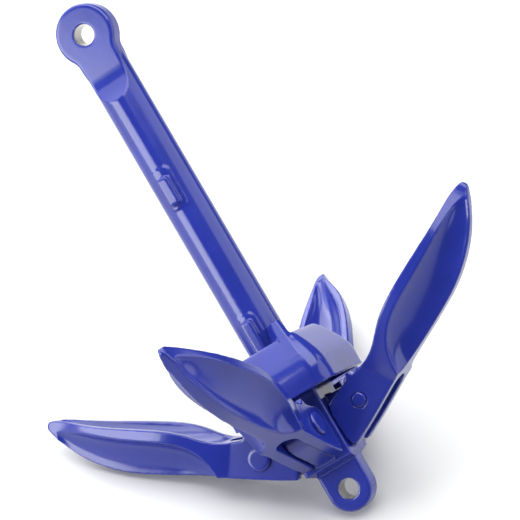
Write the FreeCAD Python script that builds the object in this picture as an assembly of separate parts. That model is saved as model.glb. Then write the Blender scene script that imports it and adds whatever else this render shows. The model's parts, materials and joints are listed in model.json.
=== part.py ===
"""Folding grapnel anchor: a shank, a sliding locking collar and four flukes hinged on rivets.

Lengths are millimetres and angles are degrees. Every piece is drawn with the shank upright: the
origin is the centre of the trip eye, +Z runs up the shank to the shackle eye, and both eyes face Y.
The finished pieces are then laid down as the anchor lies on level ground: on two neighbouring
flukes and the rim of its trip eye, with the shank rising towards -X.
"""
import FreeCAD, Part
import math
import os

from FreeCAD import Base

Vector = FreeCAD.Vector
X_AXIS, Y_AXIS, Z_AXIS = Vector(1, 0, 0), Vector(0, 1, 0), Vector(0, 0, 1)

# Shank: a round bar with a flat eye at each end and a square crown that carries the flukes.
EYE_SPACING = 290.2        # trip eye to shackle eye
SHANK_R = 12.7
EYE_THICKNESS = 11.9
SHACKLE_EYE_R = 17.5
SHACKLE_HOLE_R = 5.9
NECK_FILLET_R = 9.0        # where the shackle eye narrows into the bar
NECK_TAIL = 14.0           # how far the eye's plate runs on below the neck, sinking into the bar
NECK_TAIL_HALF = 10.4
SHACKLE_EDGE_R = 1.8
FLAT_START_Z = 249.0       # where the flats of the shackle eye run out of the bar
FLAT_RAMP_R = 24.0
TRIP_EYE_R = 13.1
TRIP_HOLE_R = 5.7
TRIP_EDGE_R = 1.3

# Crown
BLOCK_HALF = 15.3
BLOCK_CORNER_R = 1.2
BLOCK_BASE_Z = 16.0
BLOCK_TOP_Z = 62.0
BLOCK_SHOULDER = 6.0       # height of the slope from the block up to the bar
SHOULDER_HALF = 11.7       # the slope's square end, inside the bar
SHOULDER_CORNER_R = 9.0
BASE_INSET = 0.4           # the tapered base starts this far inside the block's faces
BASE_TIP_Z = 13.6          # and narrows to the trip eye's own width and thickness here
FIN_THICKNESS = 11.6
FIN_EYE_R = 10.2
FIN_ROOT_R = 8.0           # where the underside ends, inside the base
FIN_SLOPE = 27.0           # rise of a fin's underside out to its eye
FIN_TOP_Z = 50.0

# Locking lugs, both on the -Y side of the bar
LUG_HALF_WIDTH = 3.3
LUG_REACH = 16.0           # from the shank's axis to the lug's face
LUG_PAD_HALF_WIDTH = 5.7
LUG_PAD_PROUD = 0.4
LUG_PAD_CORNER_R = 3.0
LUG_CORNER_R = 2.0
LUG_EDGE_R = 1.0
LOWER_LUG, LOWER_PAD = (86.5, 107.2), (84.0, 110.4)
UPPER_LUG, UPPER_PAD = (181.8, 198.6), (179.4, 203.9)

# Flukes: s runs from the pivot to the tip, n points away from the shank and t across the fluke.
PIVOT_R = 33.6
PIVOT_Z = 38.6
OPEN_ANGLE = 58.0          # between fluke and shank when the fluke stops against the crown
SIDE_ANGLE = 57.2          # the free fluke at the side, which rests a little short of its stop
BEARING_ANGLE = 53.7       # the two flukes that carry the weight, closed by their hinge play
EAR_HALF_WIDTH = 13.3
SLOT_HALF_WIDTH = 6.7
SLOT_ARCH_S = 14.5         # centre of the slot's round end
STOP_GAP = 0.5             # left between the open flukes and the crown
TIP_S = 131.4
TIP_N = -0.2
TIP_LAP = 0.1              # the plan's round end lies this far outside the side view's

# Fluke outlines as (s, n) in side view and (s, half-width) in plan
OUTER_EDGE = [
    (0, 11.9), (20, 13.5), (49, 17.1), (64, 18.7), (78, 19.5), (90, 18.7), (101, 16.6), (113, 12.4),
    (122, 7.6), (129.9, 2.5),
]
INNER_EDGE = [
    (129.2, -3.0), (121, -4.6), (112, -4.8), (98, -5.4), (84, -6.7), (70, -8.0), (57, -8.8), (44, -8.1),
    (31, -5.8),
]
WING_HALF_WIDTH = [
    (18, 13.3), (32, 16.2), (44, 17.9), (57, 18.6), (75, 17.5), (92, 14.8), (107, 10.6), (119, 5.5),
    (129.6, 2.2),
]

# Ear outline as (distance from the shank's axis, height) with the fluke fully open
EAR_TOP = [
    (44.6, 54.0), (38.0, 52.2), (36.0, 54.9), (34.4, 54.7), (33.4, 51.4), (30.6, 50.2), (20.6, 46.9),
]
EAR_CORNER = [(17.2, 45.0), (16.2, 41.6)]
EAR_FLAT_TOP_Z = 40.1
EAR_FLAT_END_Z = 24.5
EAR_HEEL = [(17.2, 20.8), (19.1, 18.7)]

# Scoops hollowed into both flanks: how wide they leave the spine, and where they meet the margin
SPINE_HALF_WIDTH = [
    (21.5, 15.4), (24.5, 10.6), (30.0, 6.5), (37.0, 4.9), (48.0, 4.2), (85.0, 4.0), (110.0, 3.5),
    (119.0, 3.2), (126.0, 4.2), (136.0, 6.0),
]
MARGIN_N = [
    (21.5, 16.4), (24.5, 12.6), (29.0, 7.2), (34.0, 3.0), (41.0, -0.6), (50.0, -2.3), (60.0, -2.5),
    (75.0, -1.4), (90.0, -0.8), (105.0, -0.5), (118.0, 0.6), (126.0, 3.0), (136.0, 6.0),
]
SCOOP_STATIONS = [
    21.5, 23.0, 25.0, 28.0, 32.0, 37.0, 44.0, 54.0, 66.0, 80.0, 94.0, 108.0, 118.0, 126.0, 135.0,
]
SCOOP_SAG = 0.17           # depth of a scoop as a fraction of its width
SCOOP_REACH = 30.0
SCOOP_CLEAR = 0.4          # how far a scoop runs out past the wing's edge
PAST_TIP = 4.0             # the scoops' tables run on this far past the tip

# Trough hollowed into the side that closes on the shank, as (s, depth)
TROUGH_STATIONS = [
    (24, 0.8), (34, 4.5), (50, 9.0), (70, 10.0), (90, 8.4), (106, 5.6), (117, 2.4), (123, 0.8),
]
TROUGH_RIM = 4.4
TROUGH_RIM_SHARE = 0.4     # the rim's most, as a share of the half-width near the tip
TROUGH_REACH = 12.0

# Rivets
PIN_R = 4.2
PIN_HEAD_R = 6.85
PIN_HEAD_HEIGHT = 2.3
PIN_TAIL_PROUD = 0.7
PIN_TAIL_CHAMFER = 0.6
PIN_HEAD_ROUND = 1.5
PIN_CLEARANCE = 0.07

# Locking collar: a square bell with a round bore, as (z, half-width, corner radius)
COLLAR_OUTSIDE = [
    (56.5, 33.3, 10.0),
    (64.5, 33.2, 9.8),
    (71.0, 32.2, 9.2),
    (77.8, 29.3, 8.0),
    (83.8, 25.9, 6.2),
    (89.1, 21.8, 4.4),
]
COLLAR_INSIDE = [
    (56.0, 29.0, 7.0),
    (64.5, 28.7, 6.8),
    (71.0, 27.4, 6.2),
    (77.8, 23.9, 5.4),
    (83.2, 19.4, 4.2),
]
COLLAR_BORE_R = 13.3
KEYWAY_HALF_WIDTH = 4.2
KEYWAY_REACH = 16.7
HOOD_TOP_Z = 98.8
HOOD_FOOT_Z = 75.5
HOOD_TOP = [(5.0, -8.4), (13.4, -17.9), (16.9, -17.9), (18.2, -15.2), (11.6, -6.0)]
HOOD_FOOT = [(2.6, -13.0), (17.2, -30.6), (23.6, -30.6), (26.0, -27.4), (17.0, -9.0)]

# Modelling: how close an edge lies to count as on a plane, and how far a cutter or a joined shape
# runs past the faces it meets
ON_PLANE = 0.01
OVERRUN = 1.0
GROUND_TOLERANCE = 0.05
TILT_RANGE = (40.0, 65.0)
TILT_HALVINGS = 40

# Which way each fluke points, as a turn about the shank from +X, and how far it is open
FLUKES = {
    "right": (0, SIDE_ANGLE),
    "left": (180, BEARING_ANGLE),
    "front": (-90, OPEN_ANGLE),
    "back": (90, BEARING_ANGLE),
}


def line(start, end):
    return Part.LineSegment(start, end).toShape()


def arc(start, middle, end):
    return Part.Arc(start, middle, end).toShape()


def spline(points):
    curve = Part.BSplineCurve()
    curve.interpolate(points)
    return curve.toShape()


def polygon_face(points):
    return Part.Face(Part.makePolygon(points + points[:1]))


def box(low, high):
    size = [b - a for a, b in zip(low, high)]
    return Part.makeBox(*size, Vector(*low))


def loft(wires, ruled=False):
    return Part.makeLoft(wires, True, ruled)


def turned(shape, angle, axis=Z_AXIS, centre=Vector(0, 0, 0)):
    copy = shape.copy()
    copy.rotate(centre, axis, angle)
    return copy


def rectangle(half_x, half_y, z):
    """A rectangular wire centred on Z."""
    corners = [(half_x, half_y), (-half_x, half_y), (-half_x, -half_y), (half_x, -half_y)]
    points = [Vector(x, y, z) for x, y in corners]
    return Part.makePolygon(points + points[:1])


def mirrored_y(shape):
    return shape.mirror(Vector(0, 0, 0), Y_AXIS)


def fused(shapes):
    return shapes[0].multiFuse(shapes[1:]).removeSplitter()


def rounded_square(half, radius, z):
    """A square wire centred on Z, with round corners."""
    straight = half - radius
    bow = straight + radius * math.sqrt(0.5)
    side = line(Vector(half, -straight, z), Vector(half, straight, z))
    corner = arc(Vector(half, straight, z), Vector(bow, bow, z), Vector(straight, half, z))
    return Part.Wire([turned(edge, 90 * quarter) for quarter in range(4) for edge in (side, corner)])


# ---------------------------------------------------------------- shank

def neck_points():
    """Half of the shackle eye's outline below the eye, as (x, z) on its arcs from the tail up."""
    fillet_x = SHANK_R + NECK_FILLET_R
    drop = math.sqrt((SHACKLE_EYE_R + NECK_FILLET_R) ** 2 - fillet_x ** 2)
    fillet_z = EYE_SPACING - drop
    share = SHACKLE_EYE_R / (SHACKLE_EYE_R + NECK_FILLET_R)
    lean = math.atan2(drop, fillet_x) / 2
    sink = SHANK_R - NECK_TAIL_HALF
    return [
        (NECK_TAIL_HALF, fillet_z - NECK_TAIL),
        (SHANK_R - sink / 4, fillet_z - NECK_TAIL / 2),
        (SHANK_R, fillet_z),
        (fillet_x - NECK_FILLET_R * math.cos(lean), fillet_z + NECK_FILLET_R * math.sin(lean)),
        (fillet_x * share, EYE_SPACING - drop * share),
    ]


def shackle_eye():
    """The eye's plate, narrowing through two fillets and sinking into the bar, with round edges."""
    face_y = -EYE_THICKNESS / 2
    right = [Vector(x, face_y, z) for x, z in neck_points()]
    left = [Vector(-x, face_y, z) for x, z in neck_points()]
    crest = Vector(0, face_y, EYE_SPACING + SHACKLE_EYE_R)
    outline = Part.Wire([
        arc(*right[:3]),
        arc(*right[2:]),
        arc(right[-1], crest, left[-1]),
        arc(*left[:1:-1]),
        arc(*left[2::-1]),
        line(left[0], right[0]),
    ])
    plate = Part.Face(outline).extrude(Y_AXIS * EYE_THICKNESS)
    foot_z = right[0].z
    rims = [e for e in plate.Edges if e.BoundBox.YLength < ON_PLANE and e.BoundBox.ZMax > foot_z + ON_PLANE]
    return plate.makeFillet(SHACKLE_EDGE_R, rims)


def shackle_flats():
    """The two cutters that thin the bar to the eye's thickness and run out in a round ramp."""
    face_y = EYE_THICKNESS / 2
    rise = SHANK_R - face_y
    ramp_z = FLAT_START_Z + math.sqrt(2 * rise * FLAT_RAMP_R - rise ** 2)
    reach = 2 * SHACKLE_EYE_R
    above = box((-reach, face_y, ramp_z), (reach, face_y + 2 * FLAT_RAMP_R, EYE_SPACING + reach))
    ramp_centre = Vector(-reach, face_y + FLAT_RAMP_R, ramp_z)
    cutter = above.fuse(Part.makeCylinder(FLAT_RAMP_R, 2 * reach, ramp_centre, X_AXIS))
    return cutter.fuse(mirrored_y(cutter))


def trip_eye():
    """The tongue below the crown: straight sides down to a half-round end."""
    half_thickness = EYE_THICKNESS / 2
    end = Part.makeCylinder(TRIP_EYE_R, EYE_THICKNESS, Vector(0, -half_thickness, 0), Y_AXIS)
    straight = box((-TRIP_EYE_R, -half_thickness, 0), (TRIP_EYE_R, half_thickness, BLOCK_BASE_Z + OVERRUN))
    plate = fused([end, straight])
    rims = [e for e in plate.Edges if e.BoundBox.YLength < ON_PLANE and e.BoundBox.ZMin < BLOCK_BASE_Z]
    return plate.makeFillet(TRIP_EDGE_R, rims)


def fin():
    """One of the four arms that carry a fluke, drawn towards +X: a slope up to a rounded eye."""
    eye = Part.makeCylinder(FIN_EYE_R, FIN_THICKNESS, Vector(PIVOT_R, -FIN_THICKNESS / 2, PIVOT_Z), Y_AXIS)
    slope = math.radians(FIN_SLOPE)
    under_r = PIVOT_R + FIN_EYE_R * math.sin(slope)
    under_z = PIVOT_Z - FIN_EYE_R * math.cos(slope)
    root_z = under_z - (under_r - FIN_ROOT_R) * math.tan(slope)
    outline = [
        (0, root_z),
        (FIN_ROOT_R, root_z),
        (under_r, under_z),
        (PIVOT_R, PIVOT_Z),
        (PIVOT_R, PIVOT_Z + FIN_EYE_R),
        (BLOCK_HALF, FIN_TOP_Z),
        (0, FIN_TOP_Z),
    ]
    web = polygon_face([Vector(r, -FIN_THICKNESS / 2, z) for r, z in outline])
    return fused([web.extrude(Y_AXIS * FIN_THICKNESS), eye])


def crown():
    """The square block, the shoulder above it, the tapered base below it and the four fins."""
    block_ends = [rounded_square(BLOCK_HALF, BLOCK_CORNER_R, z) for z in (BLOCK_BASE_Z, BLOCK_TOP_Z)]
    block = loft(block_ends, ruled=True)
    shoulder = loft([
        rounded_square(BLOCK_HALF, BLOCK_CORNER_R, BLOCK_TOP_Z),
        rounded_square(SHOULDER_HALF, SHOULDER_CORNER_R, BLOCK_TOP_Z + BLOCK_SHOULDER),
    ], ruled=True)
    base = loft([
        rectangle(BLOCK_HALF - BASE_INSET, BLOCK_HALF - BASE_INSET, BLOCK_BASE_Z),
        rectangle(TRIP_EYE_R, EYE_THICKNESS / 2, BASE_TIP_Z),
    ], ruled=True)
    return fused([block, shoulder, base] + [turned(fin(), 90 * quarter) for quarter in range(4)])


def lug(span, pad_span):
    """A raised stop with rounded corners, standing on a thin pad that follows the bar."""
    body = box((-LUG_HALF_WIDTH, -LUG_REACH, span[0]), (LUG_HALF_WIDTH, -SHANK_R / 2, span[1]))
    body = body.makeFillet(LUG_CORNER_R, [e for e in body.Edges if e.BoundBox.YLength > ON_PLANE])
    body = body.makeFillet(LUG_EDGE_R, [e for e in body.Edges if e.BoundBox.YMax < ON_PLANE - LUG_REACH])
    pad_bottom, pad_top = pad_span
    tube = Part.makeCylinder(SHANK_R + LUG_PAD_PROUD, pad_top - pad_bottom, Vector(0, 0, pad_bottom))
    window = box((-LUG_PAD_HALF_WIDTH, -LUG_REACH, pad_bottom), (LUG_PAD_HALF_WIDTH, 0, pad_top))
    window = window.makeFillet(LUG_PAD_CORNER_R, [e for e in window.Edges if e.BoundBox.YLength > ON_PLANE])
    return [body, tube.common(window)]


def cross_bore(radius, x, z):
    """A drill along Y, long enough to go right through the shank."""
    reach = 2 * BLOCK_HALF
    return Part.makeCylinder(radius, 2 * reach, Vector(x, -reach, z), Y_AXIS)


def shank():
    bar_top = EYE_SPACING - SHACKLE_HOLE_R
    bar = Part.makeCylinder(SHANK_R, bar_top - BLOCK_TOP_Z, Vector(0, 0, BLOCK_TOP_Z))
    top = fused([bar, shackle_eye()]).cut(shackle_flats())
    whole = fused([top, crown(), trip_eye()] + lug(LOWER_LUG, LOWER_PAD) + lug(UPPER_LUG, UPPER_PAD))
    holes = [cross_bore(SHACKLE_HOLE_R, 0, EYE_SPACING), cross_bore(TRIP_HOLE_R, 0, 0)]
    pivot = cross_bore(PIN_R + PIN_CLEARANCE, PIVOT_R, PIVOT_Z)
    holes += [turned(pivot, 90 * quarter) for quarter in range(4)]
    return whole.cut(Part.makeCompound(holes))


# ---------------------------------------------------------------- flukes

def from_open(r, z):
    """Turn a place beside the shank, with the fluke open, into the fluke's own (s, n)."""
    lean = math.radians(OPEN_ANGLE)
    out, up = r - PIVOT_R, z - PIVOT_Z
    return out * math.sin(lean) + up * math.cos(lean), out * math.cos(lean) - up * math.sin(lean)


def along(table, s):
    """Read a (s, value) table at s, on a smooth curve through its entries."""
    rows = sorted(table)
    last = len(rows) - 1
    i = max(0, min(last - 1, sum(row[0] <= s for row in rows) - 1))

    def slope(k):
        a, b = rows[max(k - 1, 0)], rows[min(k + 1, last)]
        return (b[1] - a[1]) / (b[0] - a[0])
    (s0, v0), (s1, v1) = rows[i], rows[i + 1]
    span = s1 - s0
    u = (s - s0) / span
    start = v0 * (2 * u ** 3 - 3 * u ** 2 + 1) + slope(i) * span * (u ** 3 - 2 * u ** 2 + u)
    end = v1 * (3 * u ** 2 - 2 * u ** 3) + slope(i + 1) * span * (u ** 3 - u ** 2)
    return start + end


def fluke_side():
    """The fluke's side view as a face: spine, rounded tip, inner edge and ear."""
    def at(s, n):
        return Vector(n, 0, s)
    heel = [from_open(*spot) for spot in EAR_HEEL]
    flat = [from_open(BLOCK_HALF + STOP_GAP, z) for z in (EAR_FLAT_TOP_Z, EAR_FLAT_END_Z)]
    ear = [from_open(*spot) for spot in EAR_TOP + EAR_CORNER] + flat + heel[:1]
    outer = [at(*heel[1])] + [at(*spot) for spot in OUTER_EDGE]
    inner = [at(*spot) for spot in INNER_EDGE]
    edges = [
        spline(outer),
        arc(outer[-1], at(TIP_S, TIP_N), inner[0]),
        spline(inner + [at(*ear[0])]),
    ]
    corners = [at(*spot) for spot in ear] + [outer[0]]
    edges += [line(a, b) for a, b in zip(corners, corners[1:])]
    return Part.Face(Part.Wire(edges))


def fluke_plan():
    """The fluke's width as a face in s and t: straight ears, then the two wings."""
    def at(s, t):
        return Vector(0, t, s)
    left = [at(s, t) for s, t in WING_HALF_WIDTH]
    right = [at(s, -t) for s, t in reversed(WING_HALF_WIDTH)]
    heels = [at(-PIVOT_R, -EAR_HALF_WIDTH), at(-PIVOT_R, EAR_HALF_WIDTH)]
    edges = [
        spline(left),
        arc(left[-1], at(TIP_S + TIP_LAP, 0), right[0]),
        spline(right),
        line(right[-1], heels[0]),
        line(*heels),
        line(heels[1], left[0]),
    ]
    return Part.Face(Part.Wire(edges))


def scoop():
    """The cutter for the +t flank: everything outside a hollow arc from spine to margin."""
    past = TIP_S + PAST_TIP
    wires = []
    for s in SCOOP_STATIONS:
        crest = Vector(along(OUTER_EDGE + [(past, PAST_TIP)], s), along(SPINE_HALF_WIDTH, s), s)
        wing = along(WING_HALF_WIDTH + [(past, PAST_TIP / 2)], s)
        margin = Vector(along(MARGIN_N, s), wing + SCOOP_CLEAR, s)
        chord = margin - crest
        inward = Vector(chord.y, -chord.x, 0) * (-SCOOP_SAG if chord.x < 0 else SCOOP_SAG)
        bottom = (crest + margin) * 0.5 + inward
        far_n, far_t = crest.x + SCOOP_REACH, wing + SCOOP_REACH
        around = [(margin.x, far_t), (far_n, far_t), (far_n, crest.y)]
        corners = [margin] + [Vector(n, t, s) for n, t in around] + [crest]
        edges = [arc(crest, bottom, margin)] + [line(a, b) for a, b in zip(corners, corners[1:])]
        wires.append(Part.Wire(edges))
    return loft(wires)


def trough():
    """The cutter for the hollow that faces the shank."""
    wires = []
    for s, depth in TROUGH_STATIONS:
        edge_n = along(INNER_EDGE, s)
        wing = along(WING_HALF_WIDTH, s)
        half = wing - min(TROUGH_RIM, wing * TROUGH_RIM_SHARE)
        left, right = Vector(edge_n, half, s), Vector(edge_n, -half, s)
        floor = arc(left, Vector(edge_n + depth, 0, s), right)
        corners = [right, right - X_AXIS * TROUGH_REACH, left - X_AXIS * TROUGH_REACH, left]
        wires.append(Part.Wire([floor] + [line(a, b) for a, b in zip(corners, corners[1:])]))
    return loft(wires)


def fork_slot():
    """The slot between the ears, open at the root and round at its far end."""
    reach = TIP_S / 2
    straight = box((-reach, -SLOT_HALF_WIDTH, -reach), (reach, SLOT_HALF_WIDTH, SLOT_ARCH_S))
    arch = Part.makeCylinder(SLOT_HALF_WIDTH, 2 * reach, Vector(-reach, 0, SLOT_ARCH_S), X_AXIS)
    return straight.fuse(arch)


def fluke():
    """A fluke standing beside its own pivot: s along +Z, n along +X and t along Y."""
    half = max(width for _, width in WING_HALF_WIDTH) + OVERRUN
    side = fluke_side()
    side.translate(Vector(0, -half, 0))
    slab = side.extrude(Y_AXIS * (2 * half))
    plan = fluke_plan()
    plan.translate(X_AXIS * -PIVOT_R)
    blank = slab.common(plan.extrude(X_AXIS * 2 * PIVOT_R))
    flank = scoop()
    body = blank.cut(flank).cut(mirrored_y(flank)).cut(trough()).cut(fork_slot())
    bore = Part.makeCylinder(PIN_R, 2 * half, Vector(0, -half, 0), Y_AXIS)
    return max(body.cut(bore).Solids, key=lambda solid: solid.Volume)


def pivot_pin():
    """A rivet along Y, with its domed head at +t and its peened tail at -t."""
    tail_t = -(EAR_HALF_WIDTH + PIN_TAIL_PROUD)
    shaft = Part.makeCylinder(PIN_R, EAR_HALF_WIDTH - tail_t, Vector(0, tail_t, 0), Y_AXIS)
    head = Part.makeCylinder(PIN_HEAD_R, PIN_HEAD_HEIGHT, Vector(0, EAR_HALF_WIDTH, 0), Y_AXIS)
    tail_rim = [e for e in shaft.Edges if e.BoundBox.YMax < tail_t + ON_PLANE]
    head_t = EAR_HALF_WIDTH + PIN_HEAD_HEIGHT
    head_rim = [e for e in head.Edges if e.BoundBox.YMin > head_t - ON_PLANE]
    shaft = shaft.makeChamfer(PIN_TAIL_CHAMFER, tail_rim)
    head = head.makeFillet(PIN_HEAD_ROUND, head_rim)
    return fused([shaft, head])


def hung(shape, azimuth, angle):
    """Open a piece of a fluke by angle about the pivot and carry it round the shank."""
    placed = turned(shape, angle, Y_AXIS)
    placed.translate(Vector(PIVOT_R, 0, PIVOT_Z))
    return turned(placed, azimuth)


# ---------------------------------------------------------------- collar

def hood():
    """The thumb rib that leans against the shank above the collar's shoulder."""
    wires = []
    for corners, z in ((HOOD_TOP, HOOD_TOP_Z), (HOOD_FOOT, HOOD_FOOT_Z)):
        points = [Vector(x, y, z) for x, y in corners]
        wires.append(Part.makePolygon(points + points[:1]))
    return loft(wires, ruled=True)


def locking_collar():
    bell = loft([rounded_square(half, radius, z) for z, half, radius in COLLAR_OUTSIDE])
    hollow = loft([rounded_square(half, radius, z) for z, half, radius in COLLAR_INSIDE])
    low, high = COLLAR_INSIDE[0][0], HOOD_TOP_Z + OVERRUN
    bore = Part.makeCylinder(COLLAR_BORE_R, high - low, Vector(0, 0, low))
    keyway = box((-KEYWAY_HALF_WIDTH, -KEYWAY_REACH, low), (KEYWAY_HALF_WIDTH, 0, high))
    return bell.fuse(hood()).cut(hollow).cut(bore.fuse(keyway))


# ---------------------------------------------------------------- assembly

def upright_pieces():
    pieces = {"shank": shank(), "locking_collar": locking_collar()}
    blade, pin = fluke(), pivot_pin()
    for side, (azimuth, angle) in FLUKES.items():
        pieces["fluke_" + side] = hung(blade, azimuth, angle)
        pieces["pivot_pin_" + side] = hung(pin, azimuth, angle)
    return pieces


def moved(shape, place):
    copy = shape.copy()
    copy.Placement = place.multiply(copy.Placement)
    return copy


def laid_down(tilt):
    """The turn that lays the anchor on its left and back flukes, for a given tilt of the shank."""
    lean = math.radians(tilt)
    across = math.sqrt(0.5)
    x_row = Vector(math.cos(lean) * across, -math.cos(lean) * across, -math.sin(lean))
    y_row = Vector(across, across, 0)
    z_row = Vector(math.sin(lean) * across, -math.sin(lean) * across, math.cos(lean))
    matrix = Base.Matrix(
        x_row.x, x_row.y, x_row.z, 0,
        y_row.x, y_row.y, y_row.z, 0,
        z_row.x, z_row.y, z_row.z, 0,
        0, 0, 0, 1,
    )
    return FreeCAD.Placement(matrix)


def lowest(points, tilt):
    place = laid_down(tilt)
    return min(place.multVec(point).z for point in points)


def resting_tilt(pieces):
    """Find the tilt at which the flukes and the trip eye touch the ground together."""
    fluke_points = pieces["fluke_left"].tessellate(GROUND_TOLERANCE)[0]
    shank_points = [p for p in pieces["shank"].tessellate(GROUND_TOLERANCE)[0] if p.z < BASE_TIP_Z]
    low, high = TILT_RANGE
    for _ in range(TILT_HALVINGS):
        middle = (low + high) / 2
        if lowest(fluke_points, middle) < lowest(shank_points, middle):
            low, high = low, middle
        else:
            low, high = middle, high
    return (low + high) / 2


def resting_placement(pieces):
    """Lay the anchor down and put the centre of its footprint at the origin."""
    place = laid_down(resting_tilt(pieces))
    whole = Part.makeCompound([moved(shape, place) for shape in pieces.values()])
    bounds = whole.optimalBoundingBox(True, False)
    centre = bounds.Center
    place.Base = Vector(-centre.x, -centre.y, -bounds.ZMin)
    return place


def main():
    os.makedirs("parts", exist_ok=True)
    pieces = upright_pieces()
    place = resting_placement(pieces)
    for name, shape in pieces.items():
        solid = moved(shape, place)
        solid.exportStep(f"parts/{name}.step")
        print(name, "valid" if solid.isValid() else "NOT VALID", len(solid.Solids), round(solid.Volume))
    return pieces, place


main()
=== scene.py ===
"""Looks for the folding grapnel anchor: a thick glossy blue coat over rounded castings.

Everything is in metres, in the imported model's frame. The camera's place and direction are given in
the shank's own axes: origin at the trip eye, Z up the shank to the shackle eye, both eyes facing Y.
"""
import json
import math

import bpy
from mathutils import Matrix, Vector


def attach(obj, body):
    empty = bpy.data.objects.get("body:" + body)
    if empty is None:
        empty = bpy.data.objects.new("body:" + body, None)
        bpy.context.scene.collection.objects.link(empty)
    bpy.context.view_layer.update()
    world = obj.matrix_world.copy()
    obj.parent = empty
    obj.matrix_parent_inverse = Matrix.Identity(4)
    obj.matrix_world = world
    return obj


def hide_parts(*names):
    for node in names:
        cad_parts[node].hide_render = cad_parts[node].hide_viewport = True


MM = 0.001

# The coat is drawn over each casting on a fine grid and then eased, which rounds its edges
COAT_GRID = 0.55 * MM
COAT_EASING = 0.5
COAT_PASSES = {"shank": 5, "locking": 6, "fluke": 8, "pivot": 5}

SLOTS = {
    "shank": "shank_coating",
    "locking": "collar_coating",
    "fluke": "fluke_coating",
    "pivot": "rivet_coating",
}

# Camera
CAMERA_PLACE = Vector((0.66249, -1.80918, -0.01523))
CAMERA_FORWARD = Vector((-0.33342, 0.93964, 0.07688))
CAMERA_UP = Vector((0.49762, 0.10614, 0.86088))
FOCAL_LENGTH = 242.3
SENSOR = 36.0

# Paint
DEEP_BLUE = (0.0110, 0.0195, 0.185, 1)
FULL_BLUE = (0.0140, 0.0240, 0.230, 1)
BARE_METAL = (0.33, 0.32, 0.30, 1)
COAT_ROUGHNESS = 0.16
COAT_IOR = 1.5
GLOSS_SPREAD = 0.15        # share by which the roughness varies over a coat
SHADE_SCALE = 35.0         # cloudy variation of the blue, in noise cells a metre
SHADE_DETAIL = 3.0
DEEP_AT, FULL_AT = 0.3, 0.7
PEEL_SCALE = 420.0         # the slight waviness of a thick coat
PEEL_DETAIL = 1.0
PEEL_DEPTH = 0.012 * MM
RIM_WIDTH = 0.15 * MM      # how gradually the coat ends at the rim of an eye

# Floor
FLOOR_SIZE = 8
FLOOR_ROUGHNESS = 0.55
PALE_FLOOR = (0.55, 0.55, 0.55, 1)

# Studio: soft panels facing the anchor, as turn about Z and height angle in degrees, size and brightness
AIM = Vector((0, 0, 0.1))
PANEL_DISTANCE = 1.5
PANELS = {
    "left_panel": (-99, 14, (1.2, 0.8), 8.0),
    "left_fill": (-150, 36, (1.7, 1.5), 2.4),
    "back_panel": (168, 28, (1.0, 1.5), 4.0),
    "right_panel": (48, 28, (2.6, 1.4), 2.1),
    "top_panel": (0, 90, (1.6, 1.6), 4.6),
}
SURROUNDINGS = (0.75, 0.8, 0.9, 1)
SURROUNDINGS_STRENGTH = 0.12


def shank_axes(record):
    """The shank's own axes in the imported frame, from its two eyes."""
    eyes = {mount["name"]: mount for mount in record["mounts"]}
    low, high = (Vector(eyes[name]["pos_m"]) for name in ("trip_eye", "shackle_eye"))
    z = (high - low).normalized()
    y = -Vector(eyes["trip_eye"]["axis"]).normalized()
    x = y.cross(z)
    axes = Matrix((x, y, z)).transposed().to_4x4()
    axes.translation = low
    return axes


def coat(node, body, kind, material):
    """Add a piece with the CAD node's shape and the soft edges that a thick coat gives a casting."""
    piece = bpy.data.objects.new(node + "_coated", frame["nodes"][node].data.copy())
    bpy.context.scene.collection.objects.link(piece)
    remesh = piece.modifiers.new("remesh", "REMESH")
    remesh.mode = "VOXEL"
    remesh.voxel_size = COAT_GRID
    smooth = piece.modifiers.new("smooth", "SMOOTH")
    smooth.factor = COAT_EASING
    smooth.iterations = COAT_PASSES[kind]
    bpy.context.view_layer.update()
    graph = bpy.context.evaluated_depsgraph_get()
    mesh = bpy.data.meshes.new_from_object(piece.evaluated_get(graph))
    piece.modifiers.clear()
    piece.data = mesh
    mesh.materials.clear()
    mesh.materials.append(material)
    mesh.polygons.foreach_set("use_smooth", [True] * len(mesh.polygons))
    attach(piece, body)
    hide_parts(node)


# ---------------------------------------------------------------- materials

class Nodes:
    """A short way to add and join shader nodes of one material."""

    # Where the colour sockets of a Mix node stand
    MIX_FIRST, MIX_SECOND, MIX_RESULT = 6, 7, 2

    def __init__(self, material):
        material.use_nodes = True
        self.tree = material.node_tree
        self.shader = self.tree.nodes["Principled BSDF"]

    def add(self, kind, settings=None, **inputs):
        node = self.tree.nodes.new(kind)
        for key, value in (settings or {}).items():
            setattr(node, key, value)
        for name, value in inputs.items():
            self.feed(node.inputs[name.replace("_", " ")], value)
        return node

    def feed(self, socket, value):
        if isinstance(value, bpy.types.NodeSocket):
            self.tree.links.new(value, socket)
        else:
            socket.default_value = value


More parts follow.
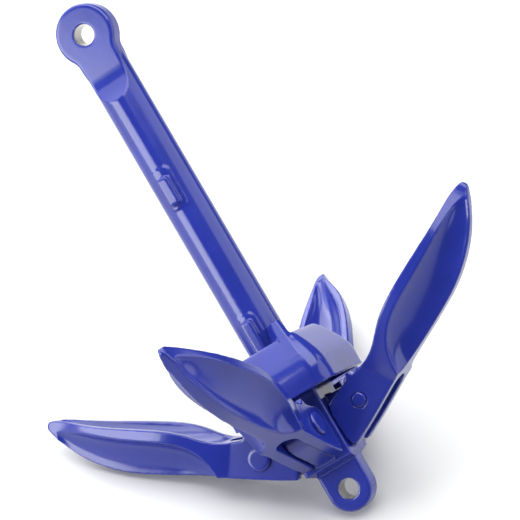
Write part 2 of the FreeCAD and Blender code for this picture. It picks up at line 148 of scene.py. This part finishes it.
def blue_coat(name):
    """Thick glossy paint with a slightly cloudy blue and a faint orange-peel surface, and its nodes."""
    material = bpy.data.materials.new(name)
    nodes = Nodes(material)
    place = nodes.add("ShaderNodeTexCoord").outputs["Object"]
    clouds = nodes.add("ShaderNodeTexNoise", Vector=place, Scale=SHADE_SCALE, Detail=SHADE_DETAIL)
    ramp = nodes.add("ShaderNodeValToRGB", Fac=clouds.outputs["Fac"])
    ramp.color_ramp.elements[0].color = DEEP_BLUE
    ramp.color_ramp.elements[0].position = DEEP_AT
    ramp.color_ramp.elements[1].color = FULL_BLUE
    ramp.color_ramp.elements[1].position = FULL_AT
    gloss = nodes.add("ShaderNodeMapRange", Value=clouds.outputs["Fac"])
    gloss.inputs["To Min"].default_value = COAT_ROUGHNESS * (1 - GLOSS_SPREAD)
    gloss.inputs["To Max"].default_value = COAT_ROUGHNESS * (1 + GLOSS_SPREAD)
    peel = nodes.add("ShaderNodeTexNoise", Vector=place, Scale=PEEL_SCALE, Detail=PEEL_DETAIL)
    bump = nodes.add("ShaderNodeBump", Height=peel.outputs["Fac"], Distance=PEEL_DEPTH)
    nodes.feed(nodes.shader.inputs["Base Color"], ramp.outputs["Color"])
    nodes.feed(nodes.shader.inputs["Roughness"], gloss.outputs["Result"])
    nodes.feed(nodes.shader.inputs["Normal"], bump.outputs["Normal"])
    nodes.shader.inputs["IOR"].default_value = COAT_IOR
    return material, nodes


def bare_bores(nodes, eyes):
    """Leave bare metal inside the shank's two eyes, where the coat ends."""
    place = nodes.add("ShaderNodeTexCoord").outputs["Object"]
    masks = []
    for eye in eyes:
        radius = eye["dims"]["r_mm"] * MM
        out = nodes.add("ShaderNodeVectorMath", {"operation": "SUBTRACT"})
        nodes.feed(out.inputs[0], place)
        nodes.feed(out.inputs[1], eye["pos_m"])
        across = nodes.add("ShaderNodeVectorMath", {"operation": "CROSS_PRODUCT"})
        nodes.feed(across.inputs[0], out.outputs["Vector"])
        nodes.feed(across.inputs[1], eye["axis"])
        length = nodes.add("ShaderNodeVectorMath", {"operation": "LENGTH"})
        nodes.feed(length.inputs[0], across.outputs["Vector"])
        edge = nodes.add("ShaderNodeMapRange", Value=length.outputs["Value"])
        edge.inputs["From Min"].default_value = radius + RIM_WIDTH
        edge.inputs["From Max"].default_value = radius + 2 * RIM_WIDTH
        edge.inputs["To Min"].default_value = 1.0
        edge.inputs["To Max"].default_value = 0.0
        masks.append(edge.outputs["Result"])
    mask = nodes.add("ShaderNodeMath", {"operation": "MAXIMUM"})
    nodes.feed(mask.inputs[0], masks[0])
    nodes.feed(mask.inputs[1], masks[1])
    bare = mask.outputs["Value"]
    paint = nodes.shader.inputs["Base Color"].links[0].from_socket
    colour = nodes.add("ShaderNodeMix", {"data_type": "RGBA"})
    nodes.feed(colour.inputs["Factor"], bare)
    nodes.feed(colour.inputs[Nodes.MIX_FIRST], paint)
    nodes.feed(colour.inputs[Nodes.MIX_SECOND], BARE_METAL)
    nodes.feed(nodes.shader.inputs["Base Color"], colour.outputs[Nodes.MIX_RESULT])
    nodes.feed(nodes.shader.inputs["Metallic"], bare)


def paints(record):
    """A coat for each kind of piece; the shank's ends at the rims of its eyes."""
    coats = {}
    for kind, slot in SLOTS.items():
        coats[kind], nodes = blue_coat(slot.replace("coating", "coat"))
        if kind == "shank":
            bare_bores(nodes, record["mounts"])
    return coats


# ---------------------------------------------------------------- stage

def floor():
    bpy.ops.mesh.primitive_plane_add(size=FLOOR_SIZE)
    plane = bpy.context.object
    plane.name = "floor"
    material = bpy.data.materials.new("white_floor")
    nodes = Nodes(material)
    nodes.shader.inputs["Base Color"].default_value = PALE_FLOOR
    nodes.shader.inputs["Roughness"].default_value = FLOOR_ROUGHNESS
    plane.data.materials.append(material)


def panel(name, turn, height, size, brightness):
    """A soft rectangular lamp that faces the anchor and glows evenly."""
    data = bpy.data.lights.new(name, "AREA")
    data.shape = "RECTANGLE"
    data.size, data.size_y = size
    data.energy = brightness * math.pi * size[0] * size[1]
    turn, height = math.radians(turn), math.radians(height)
    level = math.cos(height)
    outward = Vector((level * math.cos(turn), level * math.sin(turn), math.sin(height)))
    lamp = bpy.data.objects.new(name, data)
    lamp.location = AIM + outward * PANEL_DISTANCE
    lamp.rotation_mode = "QUATERNION"
    lamp.rotation_quaternion = (-outward).to_track_quat("-Z", "Y")
    bpy.context.scene.collection.objects.link(lamp)


def studio():
    world = bpy.data.worlds.new("studio")
    bpy.context.scene.world = world
    world.use_nodes = True
    background = world.node_tree.nodes["Background"]
    background.inputs["Color"].default_value = SURROUNDINGS
    background.inputs["Strength"].default_value = SURROUNDINGS_STRENGTH
    for name, settings in PANELS.items():
        panel(name, *settings)
    bpy.context.scene.view_settings.view_transform = "Standard"


def camera(axes):
    data = bpy.data.cameras.new("camera")
    data.lens = FOCAL_LENGTH
    data.sensor_width = SENSOR
    lens = bpy.data.objects.new("camera", data)
    turn = axes.to_3x3()
    forward = (turn @ CAMERA_FORWARD).normalized()
    right = forward.cross(turn @ CAMERA_UP).normalized()
    up = right.cross(forward)
    place = Matrix((right, up, -forward)).transposed().to_4x4()
    place.translation = axes @ CAMERA_PLACE
    lens.matrix_world = place
    bpy.context.scene.collection.objects.link(lens)
    bpy.context.scene.camera = lens


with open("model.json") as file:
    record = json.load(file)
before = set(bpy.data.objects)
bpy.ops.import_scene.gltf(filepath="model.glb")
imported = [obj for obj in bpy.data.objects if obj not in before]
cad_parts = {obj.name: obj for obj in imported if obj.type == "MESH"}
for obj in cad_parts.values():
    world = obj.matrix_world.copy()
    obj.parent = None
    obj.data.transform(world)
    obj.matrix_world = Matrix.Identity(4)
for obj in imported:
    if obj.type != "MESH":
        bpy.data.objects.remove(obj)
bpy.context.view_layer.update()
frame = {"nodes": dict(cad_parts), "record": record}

coats = paints(frame["record"])
for body, nodes_of_body in frame["record"]["behaviour"]["bodies"].items():
    for node in nodes_of_body:
        kind = node.split("_")[0]
        coat(node, body, kind, coats[kind])
floor()
studio()
camera(shank_axes(frame["record"]))
